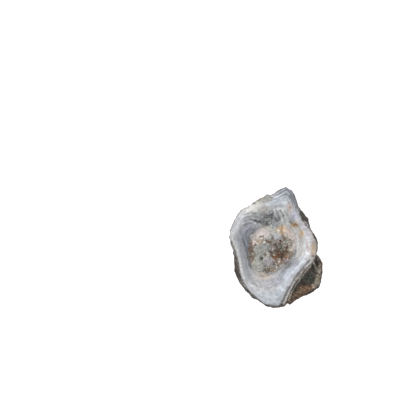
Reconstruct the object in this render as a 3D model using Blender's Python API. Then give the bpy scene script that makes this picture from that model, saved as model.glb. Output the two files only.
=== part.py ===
"""A druzy agate: half of a small agate nodule, lying on its back, with a hollow lined by quartz crystals.

Metres, +Z up. The origin is the middle of the flat spot that the stone rests on, below the middle of the
hollow. Looking down on the open face, +X is to the right and +Y is up.
"""

import math
import random
from bisect import bisect_right

import bmesh
import bpy
from mathutils import Matrix, Vector, noise

MM = 0.001

# Outlines seen from above, as (azimuth in degrees, distance from the middle of the hollow in mm):
# the edge of the open face, and the edge of the crystals in the hollow.
FACE_EDGE = (
    (0, 18.5), (13, 18.4), (25, 17.7), (38, 17.2), (50, 18.2), (58, 20.4), (66, 23.7), (72, 26.1),
    (78, 27.0), (84, 25.1), (90, 22.9), (96, 23.0), (102, 22.2), (110, 21.5), (120, 21.0), (132, 20.5),
    (144, 19.8), (156, 19.6), (168, 18.2), (180, 16.5), (192, 15.6), (204, 15.9), (216, 17.4), (228, 19.2),
    (240, 20.1), (252, 21.8), (264, 23.0), (275, 23.4), (282, 22.6), (292, 18.9), (306, 15.8), (324, 15.5),
    (341, 17.0), (352, 18.3),
)
CRYSTAL_EDGE = (
    (0, 10.2), (20, 11.2), (38, 12.2), (57, 12.6), (75, 13.0), (92, 13.8), (110, 13.6), (126, 12.2),
    (149, 11.8), (178, 10.8), (206, 11.3), (229, 12.8), (241, 13.1), (254, 12.0), (272, 10.2), (304, 8.4),
    (333, 9.4),
)

# Heights above the flat spot in mm, as (azimuth, height): of the face's edge, of the lip above that edge,
# and of the foot of the hollow's wall, where the crystals begin.
EDGE_HEIGHT = (
    (0, 16.4), (45, 16.8), (78, 18.0), (112, 17.0), (150, 16.6), (195, 16.2), (235, 15.6), (275, 15.2),
    (315, 16.2),
)
LIP_RISE = (
    (0, 1.5), (45, 1.4), (78, 1.2), (110, 1.6), (140, 1.9), (180, 1.5), (225, 1.5), (270, 1.5), (315, 1.6),
)
WALL_FOOT = (
    (0, 12.4), (40, 11.8), (70, 10.0), (98, 8.4), (122, 9.0), (150, 10.4), (180, 10.6), (225, 11.6),
    (262, 12.4), (300, 12.2),
)
# Where the lip lies, as a share of the way from the face's edge to the crystals.
LIP_SHARE = (
    (0, 0.44), (45, 0.38), (78, 0.50), (110, 0.40), (140, 0.40), (180, 0.32), (225, 0.36), (270, 0.42),
    (315, 0.42),
)

# The nodule is widest at this height, and its flat spot is this share of that width.
BELLY_HEIGHT = 10.5 * MM
FLAT_SHARE = 0.34
# Where the rind stands out past the face's edge, as (azimuth, half width in degrees, reach in mm).
BULGES = ((210, 20, 1.3), (43, 13, 2.5), (246, 14, 0.9), (15, 14, 0.4), (317, 26, 8.6))
# Where the nodule is drawn in below its face, likewise.
TUCKS = ((76, 12, 0.9), (134, 34, 1.2), (353, 9, 1.1))
# Uneven swellings of the rind and waves of the face, as (height in mm, size in mm, seed).
RIND_SWELLINGS = ((1.3, 9, 3), (0.7, 4, 8))
FACE_WAVES = (0.45, 5, 21)

# Rises and dips of the hollow's floor, as (x, y, half length in x, half length in y, rise), in mm.
FLOOR_FORMS = (
    (4.6, -1.0, 4.4, 4.4, -2.4),
    (-1.6, 6.4, 7.0, 3.0, 1.9),
    (-5.8, -4.0, 3.4, 5.0, 0.9),
    (-1.0, -3.6, 2.2, 2.6, 0.7),
    (0.6, -9.0, 4.0, 1.6, 0.5),
)
FLOOR_MIDDLE = 9.8 * MM

# The ribs that run down the wall above the crystals, as (x, y) of the upper and the lower end in mm.
RIBS = (
    ((-7.0, 16.2), (-5.9, 13.4)),
    ((-4.4, 17.0), (-3.7, 14.3)),
    ((-1.9, 17.8), (-1.4, 14.7)),
    ((0.4, 17.9), (1.4, 14.5)),
    ((2.1, 18.2), (4.0, 13.9)),
    ((4.2, 18.1), (6.3, 13.1)),
    ((6.6, 17.8), (8.5, 11.8)),
)
RIB_RADIUS = 0.95 * MM

# The skin under the crystals, and its gap to the stone.
CRUST_THICK, CRUST_EDGE_THICK, CRUST_GAP = 1.10 * MM, 0.55 * MM, 0.30 * MM
# The crystals: their spacing, radius at the shoulder, length, pyramid and foot as shares of that radius,
# lean, and place between the middle of the hollow, 0, and the edge of the crust, 1.
CRYSTAL_PITCH = 2.15 * MM
CRYSTAL_RADIUS = (1.05 * MM, 1.55 * MM)
CRYSTAL_LENGTH = (1.6, 2.3)
CRYSTAL_TIP, CRYSTAL_FOOT = 1.15, 1.45
CRYSTAL_LEAN = 0.40
CRYSTAL_PLACES = (0.06, 0.91)
CRYSTAL_JITTER = 0.22
CRYSTAL_ROWS = 9
SEED = 14
# Corners of the joined crust nearer than this are one corner.
WELD = 0.01 * MM

# Corners of the lump of rind that stands out at the lower right, (x, y, z) in mm.
LUMP_CORNERS = (
    (16.9, -2.9, 13.6), (19.4, -2.3, 11.4), (21.5, -6.3, 9.2), (18.8, -6.4, 12.8), (20.9, -11.7, 11.8),
    (20.1, -15.8, 8.6), (16.9, -18.0, 10.8), (14.6, -14.4, 13.0), (11.8, -21.3, 8.8), (7.2, -23.5, 10.6),
    (5.6, -18.6, 13.6), (11.0, -10.4, 14.6), (18.6, -6.6, 6.0), (17.0, -13.0, 5.0), (12.0, -16.8, 4.4),
    (4.0, -20.4, 6.4), (0.0, -12.0, 3.0), (8.0, -2.0, 3.0),
)

MERIDIANS, CRUST_MERIDIANS = 60, 36
FLAT_RINGS, UNDER_RINGS, SIDE_RINGS, RIM_RINGS, WALL_RINGS, FLOOR_RINGS = 1, 11, 4, 4, 8, 7
RINGS = FLAT_RINGS + UNDER_RINGS + SIDE_RINGS + RIM_RINGS + WALL_RINGS + FLOOR_RINGS


def closed_curve(points):
    """The smooth closed curve through (azimuth, value) points, as a function of an azimuth in degrees."""
    azimuths = [p[0] for p in points]
    values = [p[1] for p in points]
    count = len(points)

    def at(index):
        turns, place = divmod(index, count)
        return azimuths[place] + 360 * turns, values[place]

    def slope(index):
        (a0, v0), (a1, v1) = at(index - 1), at(index + 1)
        return (v1 - v0) / (a1 - a0)

    def value(azimuth):
        azimuth %= 360
        index = bisect_right(azimuths, azimuth) - 1
        (a0, v0), (a1, v1) = at(index), at(index + 1)
        span = a1 - a0
        t = (azimuth - a0) / span
        return (
            (1 + 2 * t) * (1 - t) ** 2 * v0
            + t * (1 - t) ** 2 * span * slope(index)
            + t * t * (3 - 2 * t) * v1
            + t * t * (t - 1) * span * slope(index + 1)
        )

    return value


face_edge = closed_curve(FACE_EDGE)
crystal_edge = closed_curve(CRYSTAL_EDGE)
edge_height = closed_curve(EDGE_HEIGHT)
lip_rise = closed_curve(LIP_RISE)
lip_share = closed_curve(LIP_SHARE)
wall_foot = closed_curve(WALL_FOOT)


def ease(t):
    return t * t * (3 - 2 * t)


def bell(azimuth, middle, half_width):
    """1 at the middle azimuth, falling smoothly to nearly nothing two half widths away."""
    away = (azimuth - middle + 180) % 360 - 180
    return math.exp(-((away / half_width) ** 2))


def reach(forms, azimuth):
    """How far the forms at these azimuths stand out, all together."""
    return sum(far * MM * bell(azimuth, middle, half_width) for middle, half_width, far in forms)


def swelling(point, height, size, seed):
    """Smooth noise of about this height, with waves of about this size, both in mm."""
    return height * MM * noise.noise(point / (size * MM) + Vector((seed, seed / 3, seed / 2)))


def floor_height(x, y, share, azimuth):
    """Height of the stone under the crystals; share is 0 in the middle and 1 at the crystals' edge."""
    bowl = FLOOR_MIDDLE + (wall_foot(azimuth) * MM - FLOOR_MIDDLE) * share**2
    forms = sum(
        rise * MM * math.exp(-(((x / MM - cx) / rx) ** 2) - ((y / MM - cy) / ry) ** 2)
        for cx, cy, rx, ry, rise in FLOOR_FORMS
    )
    return bowl + forms * (1 - share**6)


def polar(azimuth, radius, height):
    angle = math.radians(azimuth)
    return Vector((radius * math.cos(angle), radius * math.sin(angle), height))


def floor_point(azimuth, share, lift=0.0):
    """A point of the hollow's floor, raised by lift."""
    point = polar(azimuth, crystal_edge(azimuth) * MM * share, 0)
    point.z = floor_height(point.x, point.y, share, azimuth) + lift
    return point


def outside(azimuth):
    """The rings from the flat spot up to the face's edge, as (radius, height)."""
    edge, top = face_edge(azimuth) * MM, edge_height(azimuth) * MM
    belly = edge + reach(BULGES, azimuth) - reach(TUCKS, azimuth)
    flat = belly * FLAT_SHARE
    yield from ((flat * (i + 1) / FLAT_RINGS, 0.0) for i in range(FLAT_RINGS))
    for i in range(UNDER_RINGS):
        angle = math.radians(90) * (i + 1) / UNDER_RINGS
        yield flat + (belly - flat) * math.sin(angle) ** 0.92, BELLY_HEIGHT * (1 - math.cos(angle))
    for i in range(SIDE_RINGS):
        t = (i + 1) / SIDE_RINGS
        yield belly + (edge - belly) * ease(t), BELLY_HEIGHT + (top - BELLY_HEIGHT) * t


def lip_of(azimuth):
    """(radius, height) of the lip, the crest between the face's edge and the hollow."""
    edge, foot_radius = face_edge(azimuth) * MM, crystal_edge(azimuth) * MM
    radius = edge + (foot_radius - edge) * lip_share(azimuth)
    return radius, (edge_height(azimuth) + lip_rise(azimuth)) * MM


def wall_height(azimuth, radius):
    """Height of the hollow's wall at a radius between the crystals and the lip."""
    lip, lip_height = lip_of(azimuth)
    foot_radius, foot = crystal_edge(azimuth) * MM, wall_foot(azimuth) * MM
    t = min(1.0, max(0.0, (lip - radius) / (lip - foot_radius)))
    return lip_height + (foot - lip_height) * ease(t)


def inside(azimuth):
    """The rings from the face's edge over the lip and down to the crystals, as (radius, height)."""
    edge, top = face_edge(azimuth) * MM, edge_height(azimuth) * MM
    lip, lip_height = lip_of(azimuth)
    for i in range(RIM_RINGS):
        t = (i + 1) / RIM_RINGS
        yield edge + (lip - edge) * t, top + (lip_height - top) * math.sin(math.radians(90) * t)
    for i in range(WALL_RINGS):
        radius = lip + (crystal_edge(azimuth) * MM - lip) * (i + 1) / WALL_RINGS
        yield radius, wall_height(azimuth, radius)


def meridian(azimuth):
    """The points of one meridian of the stone, from the flat spot round the outside and into the hollow."""
    rind = [polar(azimuth, radius, height) for radius, height in outside(azimuth)]
    for k, point in enumerate(rind[FLAT_RINGS:], FLAT_RINGS):
        near_flat = min(1.0, (k + 1 - FLAT_RINGS) / 4)
        near_edge = 1 - 0.8 * (k / len(rind)) ** 6
        swell = sum(swelling(point, *form) for form in RIND_SWELLINGS)
        rind[k] = point + polar(azimuth, swell * near_flat * near_edge, 0)
    face = [polar(azimuth, radius, height) for radius, height in inside(azimuth)]
    for k, point in enumerate(face):
        point.z += swelling(point, *FACE_WAVES) * min(1.0, 2 - 2 * k / (len(face) - 1))
    floor = [floor_point(azimuth, 1 - (i + 1) / (FLOOR_RINGS + 1)) for i in range(FLOOR_RINGS)]
    return rind + face + floor


def ball(meridians, parallels):
    """A new mesh being edited that holds a unit sphere, with its south pole down."""
    bm = bmesh.new()
    bmesh.ops.create_uvsphere(bm, u_segments=meridians, v_segments=parallels, radius=1)
    return bm


def place_on(vertex, meridians, parallels):
    """(meridian number, ring number) of a vertex of the unit sphere; ring 0 is the south pole."""
    ring = round(parallels * (0.5 + math.asin(max(-1.0, min(1.0, vertex.co.z))) / math.pi))
    turn = round(meridians * math.atan2(vertex.co.y, vertex.co.x) / math.tau) % meridians
    return turn, ring


def to_object(bm, name, collection):
    bmesh.ops.recalc_face_normals(bm, faces=bm.faces)
    mesh = bpy.data.meshes.new(name)
    bm.to_mesh(mesh)
    bm.free()
    obj = bpy.data.objects.new(name, mesh)
    collection.objects.link(obj)
    return obj


def finish(obj, colour, roughness):
    material = bpy.data.materials.new(obj.name)
    material.use_nodes = True
    shader = material.node_tree.nodes["Principled BSDF"]
    shader.inputs["Base Color"].default_value = (*colour, 1)
    shader.inputs["Roughness"].default_value = roughness
    shader.inputs["Metallic"].default_value = 0
    obj.data.materials.append(material)


def collection_named(name):
    collection = bpy.data.collections.new(name)
    bpy.context.scene.collection.children.link(collection)
    return collection


def as_helper(obj):
    obj.hide_render = True
    obj.display_type = "WIRE"


def join_with(obj, other):
    """Adds a Boolean union with an object or with all the objects of a collection."""
    modifier = obj.modifiers.new("join", "BOOLEAN")
    modifier.operation = "UNION"
    modifier.solver = "EXACT"
    if isinstance(other, bpy.types.Collection):
        modifier.operand_type = "COLLECTION"
        modifier.collection = other
    else:
        modifier.object = other


def shells_of(bm):
    """The sets of faces that hang together across edges with just two faces."""
    left = set(bm.faces)
    while left:
        shell, border = set(), [left.pop()]
        while border:
            face = border.pop()
            shell.add(face)
            for edge in face.edges:
                for other in edge.link_faces:
                    if other in left and len(edge.link_faces) == 2:
                        left.remove(other)
                        border.append(other)
        yield shell


def keep_outer_shell(obj, operands):
    """Applies the union and drops the shells of the small hollows that the operands enclose between them."""
    graph = bpy.context.evaluated_depsgraph_get()
    joined = bpy.data.meshes.new_from_object(obj.evaluated_get(graph))
    obj.modifiers.clear()
    obj.data = joined
    for operand in list(operands.objects):
        bpy.data.objects.remove(operand)
    bm = bmesh.new()
    bm.from_mesh(joined)
    bmesh.ops.triangulate(bm, faces=bm.faces)
    outer = max(shells_of(bm), key=len)
    bmesh.ops.delete(bm, geom=[face for face in bm.faces if face not in outer], context="FACES")
    bmesh.ops.remove_doubles(bm, verts=bm.verts, dist=WELD)
    bmesh.ops.dissolve_degenerate(bm, edges=bm.edges, dist=WELD / 2)
    bmesh.ops.triangulate(bm, faces=bm.faces)
    bm.to_mesh(joined)
    bm.free()


def wall_point(place):
    """The point of the hollow's wall above (x, y) in mm."""
    x, y = place
    azimuth, radius = math.degrees(math.atan2(y, x)), math.hypot(x, y) * MM
    return Vector((x * MM, y * MM, wall_height(azimuth, radius)))


def rib_between(upper, lower, name, collection):
    """A long slim swelling along the wall, thickest in its middle and sunk into the wall at both ends."""
    along = lower - upper
    bm = ball(6, 5)
    bm.transform(Matrix.Diagonal((RIB_RADIUS, RIB_RADIUS, 0.56 * along.length, 1)))
    bm.transform(along.to_track_quat("Z", "Y").to_matrix().to_4x4())
    bm.transform(Matrix.Translation((upper + lower) / 2))
    return to_object(bm, name, collection)


def stone(parts, helpers):
    """The nodule: a sphere whose parallels become the rings of the rind, the lip, the wall and the floor."""
    bm = ball(MERIDIANS, RINGS + 1)
    lines = [meridian(360 * i / MERIDIANS) for i in range(MERIDIANS)]
    for vertex in bm.verts:
        turn, ring = place_on(vertex, MERIDIANS, RINGS + 1)
        if ring == 0:
            vertex.co = (0, 0, 0)
        elif ring == RINGS + 1:
            vertex.co = floor_point(0, 0)
        else:
            vertex.co = lines[turn][ring - 1]
    agate = to_object(bm, "agate", parts)

    bm = bmesh.new()
    for corner in LUMP_CORNERS:
        bm.verts.new(Vector(corner) * MM)
    hull = bmesh.ops.convex_hull(bm, input=bm.verts)
    bmesh.ops.delete(bm, geom=hull["geom_interior"], context="VERTS")
    lump = to_object(bm, "rind_lump", helpers)
    as_helper(lump)
    join_with(agate, lump)
    for number, (upper, lower) in enumerate(RIBS):
        rib = rib_between(wall_point(upper), wall_point(lower), f"rib_{number}", helpers)
        as_helper(rib)
        join_with(agate, rib)
    finish(agate, (0.52, 0.54, 0.58), 0.45)
    return agate


def crystal(root, up, lean, radius, length, spin):
    """One quartz crystal: six flanks that spread towards the root, under a leaning six-sided pyramid."""
    bm = ball(6, 3)
    shoulder = Vector((0, 0, length - CRYSTAL_TIP * radius))
    for vertex in bm.verts:
        turn, ring = place_on(vertex, 6, 3)
        side = polar(60 * turn + spin, radius, 0)
        rings = Vector((0, 0, -0.1 * radius)), CRYSTAL_FOOT * side, side + shoulder, Vector((0, 0, length))
        vertex.co = rings[ring]
        vertex.co += lean * max(0, vertex.co.z)
    bm.transform(Matrix.Translation(root) @ up.to_track_quat("Z", "Y").to_matrix().to_4x4())
    return bm


def floor_normal(azimuth, share):
    """The way up from the hollow's floor."""
    step = 0.05
    along = floor_point(azimuth, share + step) - floor_point(azimuth, share - step)
    across = floor_point(azimuth + 4, share) - floor_point(azimuth - 4, share)
    return along.cross(across).normalized()


def crystal_sites(rng):
    """(azimuth, share of the way to the crystals' edge) of each crystal, on a loose triangular grid."""
    rows = range(-CRYSTAL_ROWS, CRYSTAL_ROWS + 1)
    for row in rows:
        for column in rows:
            x = CRYSTAL_PITCH * (column + 0.5 * (row % 2) + rng.uniform(-CRYSTAL_JITTER, CRYSTAL_JITTER))
            y = CRYSTAL_PITCH * (row * math.sqrt(3) / 2 + rng.uniform(-CRYSTAL_JITTER, CRYSTAL_JITTER))
            azimuth = math.degrees(math.atan2(y, x))
            share = math.hypot(x, y) / (crystal_edge(azimuth) * MM)
            if CRYSTAL_PLACES[0] < share < CRYSTAL_PLACES[1]:
                yield azimuth, share


def druse(parts, helpers):
    """The crust in the hollow: a thin skin on the floor, joined with the crystals that stand on it."""
    parallels = 2 * (FLOOR_RINGS + 1)
    bm = ball(CRUST_MERIDIANS, parallels)
    for vertex in bm.verts:
        turn, ring = place_on(vertex, CRUST_MERIDIANS, parallels)
        above = ring > parallels // 2
        share = (parallels - ring if above else ring) / (FLOOR_RINGS + 1)
        azimuth = 360 * turn / CRUST_MERIDIANS
        lift = CRUST_GAP
        if above:
            lift += CRUST_THICK + (CRUST_EDGE_THICK - CRUST_THICK) * share**3
        if ring == parallels // 2:
            share = 0.985
            lift += CRUST_EDGE_THICK / 2
        vertex.co = floor_point(azimuth, share, lift)
    crust = to_object(bm, "druse_crust", parts)

    rng = random.Random(SEED)
    crystals = collection_named("crystals")
    for number, (azimuth, share) in enumerate(crystal_sites(rng)):
        up = floor_normal(azimuth, share)
        lean = polar(rng.uniform(0, 360), rng.uniform(0, CRYSTAL_LEAN), 0)
        radius = rng.uniform(*CRYSTAL_RADIUS) * (1 - 0.4 * share * share)
        length = radius * rng.uniform(*CRYSTAL_LENGTH)
        root = floor_point(azimuth, share, CRUST_GAP + 0.5 * CRUST_THICK)
        bm = crystal(root, up, lean, radius, length, rng.uniform(0, 60))
        as_helper(to_object(bm, f"crystal_{number:03d}", crystals))
    join_with(crust, crystals)
    keep_outer_shell(crust, crystals)
    finish(crust, (0.55, 0.52, 0.47), 0.25)
    return crust


def main():
    for obj in list(bpy.data.objects):
        bpy.data.objects.remove(obj)
    parts = collection_named("druzy_agate")
    helpers = collection_named("cutters")
    for piece in (stone(parts, helpers), druse(parts, helpers)):
        piece.data.shade_smooth()
        piece.data.set_sharp_from_angle(angle=math.radians(32))


main()
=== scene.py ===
"""Looks of the druzy agate: a banded nodule half with a rough rind, and a crust of small quartz crystals in
its hollow, seen from above on a white table.

Metres, +Z up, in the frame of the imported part. Points that are worked on in numpy are in millimetres.
"""

import math
import random

import bmesh
import bpy
import numpy as np
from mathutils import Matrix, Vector, noise
from mathutils.bvhtree import BVHTree
from mathutils.kdtree import KDTree


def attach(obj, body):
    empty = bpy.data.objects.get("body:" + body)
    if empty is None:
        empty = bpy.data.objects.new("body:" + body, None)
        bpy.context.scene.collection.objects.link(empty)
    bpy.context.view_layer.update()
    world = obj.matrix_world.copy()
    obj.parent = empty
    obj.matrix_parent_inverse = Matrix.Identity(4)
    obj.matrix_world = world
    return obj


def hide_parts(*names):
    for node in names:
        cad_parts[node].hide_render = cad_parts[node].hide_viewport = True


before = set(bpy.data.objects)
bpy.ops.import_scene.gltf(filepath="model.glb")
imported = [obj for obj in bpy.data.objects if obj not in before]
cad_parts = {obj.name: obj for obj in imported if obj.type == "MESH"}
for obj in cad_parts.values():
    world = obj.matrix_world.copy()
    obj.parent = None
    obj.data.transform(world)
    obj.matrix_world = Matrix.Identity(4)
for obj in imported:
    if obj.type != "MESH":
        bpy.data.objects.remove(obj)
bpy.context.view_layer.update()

MM = 0.001

# The photograph: its width and scale, and the pixel above the part's origin. The camera looks straight down,
# and a square of the photograph's width is seen at the height of the stone's rim.
PHOTO_WIDTH = 400
PIXELS_PER_MM = 2.4
ORIGIN_PIXEL = (272.6, 249.7)
LENS, SENSOR = 150.0, 36.0
RIM_HEIGHT = 16.5
CAMERA_X = (PHOTO_WIDTH / 2 - ORIGIN_PIXEL[0]) / PIXELS_PER_MM
CAMERA_Y = (ORIGIN_PIXEL[1] - PHOTO_WIDTH / 2) / PIXELS_PER_MM
CAMERA_Z = RIM_HEIGHT + PHOTO_WIDTH / PIXELS_PER_MM * LENS / SENSOR

# Outlines seen from above, as (azimuth in degrees, distance from the middle of the hollow in mm): the edge
# of the open face, and the edge of the crystals.
FACE_EDGE = (
    (0, 18.7), (13, 18.9), (25, 18.3), (38, 17.9), (50, 18.2), (58, 20.4), (66, 23.7), (72, 26.1),
    (78, 27), (84, 25.1), (90, 22.9), (96, 23), (102, 22.2), (110, 21.5), (120, 21), (132, 20.5),
    (144, 19.8), (156, 19.6), (168, 18.2), (180, 16.5), (192, 15.6), (204, 15.9), (216, 17.6), (228, 19.6),
    (240, 20.7), (252, 22.4), (264, 23.4), (275, 23.6), (282, 22.6), (292, 18.9), (306, 15.8), (324, 15.5),
    (341, 17), (352, 18.5),
)
CRYSTAL_EDGE = (
    (0, 10.2), (20, 11.2), (38, 12.2), (57, 12.6), (75, 13), (92, 13.6), (111, 13.1), (117, 12),
    (124, 10.9), (133, 10.9), (149, 11.2), (178, 10.8), (206, 11.3), (229, 12.8), (241, 13.1), (254, 12),
    (272, 10.2), (304, 8.4), (333, 9.4),
)

# The stone's mesh: its grid in mm, and how often its points, and the depths that its bands follow, are
# averaged with their neighbours.
VOXEL = 0.265
SMOOTH_ROUNDS, BAND_ROUNDS = 12, 50
# Colours are laid on at this share, because the lights are bright enough to make the table pure white.
SHADE = 0.72


def linear(colour):
    """A colour as a picture states it, 0 to 255, as the linear values that shaders use."""
    shares = np.array(colour) / 255
    return SHADE * np.where(shares <= 0.04045, shares / 12.92, ((shares + 0.055) / 1.055) ** 2.4)


CREAM = (222, 219, 213)
WHITE = (232, 234, 236)
PALE_GREY = (198, 199, 202)
PALE_BLUE = (188, 195, 206)
LAVENDER = (204, 209, 220)
PALE_SKY = (222, 228, 236)
LILAC = (186, 183, 202)
BLUE_GREY = (182, 188, 197)
STONE_GREY = (180, 180, 179)
SLATE = (201, 205, 217)
DUSK = (92, 92, 102)
LINE_GREY = (112, 114, 118)
TAUPE = (168, 162, 150)
# NOOK_GREY is far paler than the stone: painted light against the nook's deep shade.
NOOK_GREY = (240, 243, 243)
PINK = (212, 198, 192)
BLUSH = (238, 227, 219)
SAND = (206, 180, 148)
HONEY = (206, 158, 104)
RUST = (138, 100, 74)
BROWN = (118, 92, 70)
DARK_BROWN = (70, 54, 44)
MAROON = (98, 56, 52)
MOSS = (118, 122, 106)
OLIVE = (66, 66, 48)
RIND_DARK = (44, 39, 35)
RIND_GREY = (96, 91, 84)
RIND_BROWN = (84, 76, 70)
RIND_RED = (60, 44, 38)
DRUSE_GREY = (200, 199, 192)
DRUSE_GREEN = (171, 173, 166)
DRUSE_LILAC = (170, 166, 169)
BLACK = (40, 36, 32)

# Broad tones of the face, as (azimuth, half width in degrees, from, to, colour, strength). From and to are
# places between the face's edge, 0, and the crystals, 1.
FACE_TONES = (
    # The peak and the wall below it.
    (78, 20, 0, 0.16, (151, 156, 164), 0.9),
    (78, 20, 0.16, 0.4, PALE_BLUE, 0.9),
    # Painted light: a near-white tone that offsets the shade on the wall below the peak.
    (104, 34, 0.4, 1.2, (232, 235, 236), 0.95),
    # Painted shade: a blue-grey tone that dims a highlight on the peak.
    (84, 24, 0.36, 0.56, (196, 201, 209), 0.8),
    # The upper left rim and its wall.
    (108, 14, 0.02, 0.3, TAUPE, 0.55),
    (118, 14, 0.04, 0.42, CREAM, 0.9),
    # Painted shade: a grey tone that dims the key light's highlight on the upper left rim.
    (146, 26, 0, 0.44, (178, 180, 183), 0.9),
    # Painted light: pale tones that offset the shade on the upper left wall.
    (152, 28, 0.48, 1.2, SLATE, 0.95),
    (180, 15, 0.58, 1.2, (202, 206, 215), 0.95),
    # The left rim and its wall.
    (205, 16, 0.4, 0.86, (204, 209, 217), 0.85),
    (182, 16, 0.04, 0.26, (180, 178, 176), 0.85),
    (184, 20, 0.28, 0.5, (176, 180, 186), 0.8),
    (218, 22, 0.34, 1.1, (208, 212, 217), 0.8),
    # The lower tip and the wall above it.
    (245, 18, 0.08, 1.2, (208, 208, 211), 0.8),
    (268, 20, 0.04, 0.45, PALE_BLUE, 0.7),
    (266, 20, 0.5, 1.2, (198, 198, 201), 0.85),
    # The lower right wall.
    # Partly the wall's own lavender band, partly painted light where the wall faces the light.
    (314, 30, 0.26, 0.72, LAVENDER, 0.95),
    (308, 26, 0.78, 1.2, STONE_GREY, 0.85),
    (318, 26, 0.1, 0.24, PALE_GREY, 0.8),
    # The right rim and its wall.
    (2, 24, 0.34, 0.72, WHITE, 0.8),
    (4, 30, 0.7, 1.2, (226, 223, 219), 0.85),
    (6, 20, 0.02, 0.28, PINK, 0.8),
    (36, 20, 0.3, 1.2, (216, 213, 210), 0.8),
)

# Bands parallel to the face's edge, as (azimuth, half width in degrees, mm from the edge, half thickness in
# mm, colour, strength).
FACE_BANDS = (
    # The peak.
    (74, 30, 0.2, 0.34, DUSK, 0.95),
    (78, 24, 1.4, 0.26, DUSK, 0.75),
    (78, 22, 2.4, 0.22, DUSK, 0.6),
    (82, 20, 3.4, 0.22, LINE_GREY, 0.5),
    # The left half of the rim.
    (150, 56, 0, 0.3, (158, 150, 140), 0.45),
    (100, 16, 0.1, 0.22, RIND_GREY, 0.8),
    (190, 30, 0.2, 0.26, TAUPE, 0.5),
    (180, 40, 1.3, 0.26, WHITE, 0.4),
    # The lower tip.
    (250, 30, 0.4, 0.3, LINE_GREY, 0.6),
    (250, 30, 2, 0.35, BLUE_GREY, 0.4),
    (256, 30, 3.6, 0.4, WHITE, 0.4),
    # The right rim.
    (30, 26, 0.2, 0.3, LINE_GREY, 0.8),
    (356, 18, 0.3, 0.4, MOSS, 0.7),
)

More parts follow.
